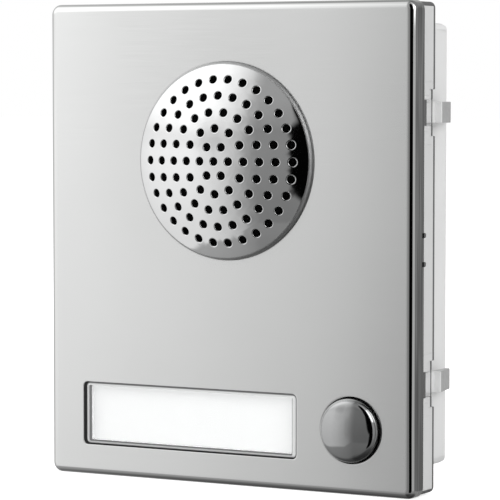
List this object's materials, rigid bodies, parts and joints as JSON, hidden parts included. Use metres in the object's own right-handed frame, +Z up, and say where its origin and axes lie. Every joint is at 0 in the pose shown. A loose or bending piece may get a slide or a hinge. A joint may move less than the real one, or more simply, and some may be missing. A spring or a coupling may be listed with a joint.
{
  "type": "door intercom module",
  "caption": "Flush door station call module: steel front with domed speaker grille, lit name window and sprung call button on a snap-in plastic body.",
  "frame": {"origin": "centre of the plane where the seat seal meets the frame that holds the module", "axes": "+Y to the rear, into the frame; +Z up; +X to the right as seen from the front"},
  "size_m": [0.1014, 0.0362, 0.117],
  "materials": {
    "brushed_steel": "brushed stainless sheet",
    "polished_steel": "polished stainless",
    "zinc_steel": "bright zinc plated",
    "black_cloth": "open weave",
    "clear_lens": "clear moulded plastic",
    "white_card": "blank card",
    "light_box": "translucent white moulding",
    "led": "moulded diode",
    "black_plastic": "moulded",
    "red_plastic": "moulded",
    "body_plastic": "fine texture",
    "cover_plastic": "fine texture",
    "latch_plastic": "fine texture",
    "seal_rubber": "moulded rubber",
    "foam": "foam",
    "basket_steel": "black passivated",
    "cone_film": "clear brown film",
    "copper": "wound wire",
    "pole_steel": "plated",
    "ferrite": "ground ferrite",
    "lead_sleeve": "insulated wire",
    "capsule_can": "drawn can",
    "gold_pin": "plated",
    "board": "solder mask",
    "capacitor_sleeve": "shrunk sleeve",
    "resistor_body": "lacquered",
    "trimmer_blue": "moulded",
    "rotor_white": "moulded",
    "terminal_green": "moulded"
  },
  "bodies": {
    "module": {"front_plate": "brushed_steel", "speaker_grille": "polished_steel", "grille_cloth": "black_cloth", "name_lens": "clear_lens", "name_card": "white_card", "card_light_box": "light_box", "card_leds": "led", "button_guide": "black_plastic", "call_switch": "black_plastic", "amplifier_chips": "black_plastic", "mid_housing": "body_plastic", "seat_gasket": "seal_rubber", "rear_cover": "cover_plastic", "speaker_gasket": "foam", "speaker_basket": "basket_steel", "speaker_surround": "cone_film", "speaker_top_plate": "pole_steel", "speaker_magnet": "ferrite", "speaker_yoke": "pole_steel", "speaker_leads": "lead_sleeve", "microphone": "capsule_can", "microphone_boot": "seal_rubber", "microphone_leads": "gold_pin", "main_board": "board", "capacitors": "capacitor_sleeve", "resistors": "resistor_body", "trimmer_bodies": "trimmer_blue", "terminal_block": "terminal_green", "plate_studs": "zinc_steel", "plate_nuts": "zinc_steel", "cover_screws": "zinc_steel", "clamp_screws": "zinc_steel", "terminal_screws": "zinc_steel", "button_spring": "zinc_steel", "speaker_clamps": "zinc_steel"},
    "button": {"push_button": "polished_steel", "button_clip": "zinc_steel"},
    "plunger": {"switch_plunger": "red_plastic"},
    "cone": {"speaker_cone": "cone_film", "dust_cap": "cone_film", "voice_coil": "copper"},
    "volume_preset": {"volume_rotor": "rotor_white"},
    "microphone_preset": {"microphone_rotor": "rotor_white"},
    "latch_right_upper_arm": {"latch_right_upper": "latch_plastic"},
    "latch_right_lower_arm": {"latch_right_lower": "latch_plastic"},
    "latch_left_upper_arm": {"latch_left_upper": "latch_plastic"},
    "latch_left_lower_arm": {"latch_left_lower": "latch_plastic"}
  },
  "joints": [
    {"name": "button_press", "type": "slide", "parent": "module", "child": "button", "axis": [0, 1, 0], "range_m": [0, 0.001], "stiffness_N_per_m": 800, "springref_m": -0.002, "deforming": ["button_spring"]},
    {"name": "plunger_press", "type": "slide", "parent": "module", "child": "plunger", "axis": [0, 1, 0], "range_m": [0, 0.001]},
    {"name": "cone_stroke", "type": "slide", "parent": "module", "child": "cone", "axis": [0, 1, 0], "range_m": [-0.0005, 0.0005], "stiffness_N_per_m": 500, "deforming": ["speaker_surround"]},
    {"name": "volume_turn", "type": "hinge", "parent": "module", "child": "volume_preset", "pos_m": [-0.026, 0.0068, -0.008], "axis": [0, 1, 0], "range_deg": [-135, 135]},
    {"name": "microphone_turn", "type": "hinge", "parent": "module", "child": "microphone_preset", "pos_m": [-0.012, 0.0068, -0.008], "axis": [0, 1, 0], "range_deg": [-135, 135]},
    {"name": "latch_right_upper_flex", "type": "hinge", "parent": "module", "child": "latch_right_upper_arm", "pos_m": [0.0469, -0.005, 0.0321], "axis": [0, 0, 1], "range_deg": [0, 5.5], "stiffness_Nm_per_rad": 0.8},
    {"name": "latch_right_lower_flex", "type": "hinge", "parent": "module", "child": "latch_right_lower_arm", "pos_m": [0.0469, -0.005, -0.0321], "axis": [0, 0, 1], "range_deg": [0, 5.5], "stiffness_Nm_per_rad": 0.8},
    {"name": "latch_left_upper_flex", "type": "hinge", "parent": "module", "child": "latch_left_upper_arm", "pos_m": [-0.0469, -0.005, 0.0321], "axis": [0, 0, -1], "range_deg": [0, 5.5], "stiffness_Nm_per_rad": 0.8},
    {"name": "latch_left_lower_flex", "type": "hinge", "parent": "module", "child": "latch_left_lower_arm", "pos_m": [-0.0469, -0.005, -0.0321], "axis": [0, 0, -1], "range_deg": [0, 5.5], "stiffness_Nm_per_rad": 0.8}
  ],
  "couplings": [
    {"joint": "plunger_press", "follows": "button_press", "ratio": 1}
  ]
}
